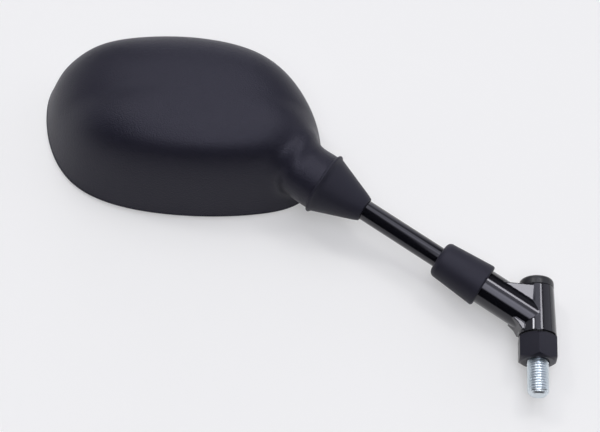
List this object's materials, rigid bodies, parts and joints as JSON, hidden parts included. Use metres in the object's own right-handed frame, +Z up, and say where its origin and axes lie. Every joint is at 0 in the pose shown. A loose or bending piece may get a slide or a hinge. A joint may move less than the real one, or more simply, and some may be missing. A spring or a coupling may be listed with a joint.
{
  "type": "motorcycle mirror",
  "caption": "Right-hand motorcycle mirror: black oval housing with a convex glass on a ball joint, black stem, and a swivel knuckle on an M10 mounting stud.",
  "frame": {"origin": "on the mounting stud's axis, at the face of the hex nut that seats on the bracket", "axes": "+Z up along the stud, away from its threaded tip; the stem leans towards -X; the glass looks along +Y"},
  "size_m": [0.2495, 0.0433, 0.1717],
  "materials": {
    "housing_plastic": "fine moulded grain",
    "cap_plastic": "satin",
    "inner_plastic": "plain",
    "nylon": "smooth",
    "black_paint": "gloss",
    "black_oxide": "satin",
    "zinc": "bright zinc plate",
    "spring_steel": "plain",
    "bronze": "sintered",
    "die_cast": "as cast",
    "rubber": "matte",
    "foam": "foamed",
    "mirror_glass": "silvered, convex"
  },
  "bodies": {
    "mount": {"mount_stud": "zinc", "hex_nut": "black_oxide", "thrust_washer": "inner_plastic", "flat_washer": "zinc", "spring_washers": "spring_steel", "top_nut": "zinc"},
    "arm": {"knuckle": "black_paint", "pivot_bush": "bronze", "pivot_cap": "cap_plastic", "stem_rod": "black_paint", "lock_washer": "zinc", "lock_nut": "zinc"},
    "sleeve": {"nut_sleeve": "rubber"},
    "rear_seat": {"ball_cup": "nylon"},
    "front_seat": {"ball_ring": "nylon"},
    "head": {"socket_base": "die_cast", "pressure_plate": "zinc", "tension_springs": "spring_steel", "retainer_ring": "zinc", "housing": "housing_plastic", "backing_plate": "inner_plastic", "plate_screws": "zinc", "foam_pad": "foam", "glass_seal": "rubber", "mirror_glass": "mirror_glass", "boot": "rubber"}
  },
  "joints": [
    {"name": "arm_swivel", "type": "hinge", "parent": "mount", "child": "arm", "pos_m": [0, 0, 0.0204], "axis": [0, 0, 1], "continuous": true},
    {"name": "sleeve_slide", "type": "slide", "parent": "arm", "child": "sleeve", "axis": [-0.8572, -0.0785, 0.509], "range_m": [0, 0.036]},
    {"name": "head_twist", "type": "hinge", "parent": "arm", "child": "rear_seat", "pos_m": [-0.11829, -0.01083, 0.09064], "axis": [-0.8572, -0.0785, 0.509], "range_deg": [-15, 15]},
    {"name": "head_tilt", "type": "hinge", "parent": "rear_seat", "child": "front_seat", "pos_m": [-0.11829, -0.01083, 0.09064], "axis": [1, 0, 0], "range_deg": [-15, 15], "deforming": ["boot"]},
    {"name": "head_pan", "type": "hinge", "parent": "front_seat", "child": "head", "pos_m": [-0.11829, -0.01083, 0.09064], "axis": [0, 0, 1], "range_deg": [-10, 10], "deforming": ["boot"]}
  ]
}
